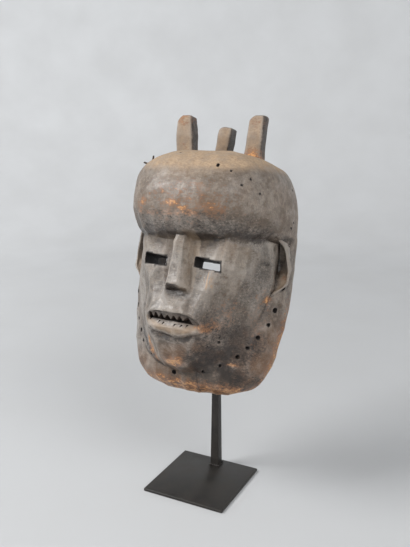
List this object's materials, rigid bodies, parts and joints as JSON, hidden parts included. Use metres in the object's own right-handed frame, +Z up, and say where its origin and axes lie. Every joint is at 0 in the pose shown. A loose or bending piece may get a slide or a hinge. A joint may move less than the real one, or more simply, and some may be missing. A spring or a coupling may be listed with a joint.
{
  "type": "carved dance mask on stand",
  "caption": "Hollow carved wooden dance mask with a heavy rounded headdress, prongs on the crown and slit eyes, leaning back on a square steel stand.",
  "frame": {"origin": "middle of the underside of the square stand plate", "axes": "+Z up, the face looks towards -Y, +X is the viewer's right; the mask's open back faces +Y and leans back"},
  "size_m": [0.229, 0.1995, 0.5058],
  "materials": {
    "mask_wood": "aged dark patina with dry dust and worn orange edges",
    "peg_wood": "blackened",
    "stand_steel": "black, semi-matt"
  },
  "bodies": {
    "root": {"mask": "mask_wood", "peg_upper": "peg_wood", "peg_lower": "peg_wood", "base_plate": "stand_steel", "post": "stand_steel", "cradle": "stand_steel"}
  },
  "joints": []
}
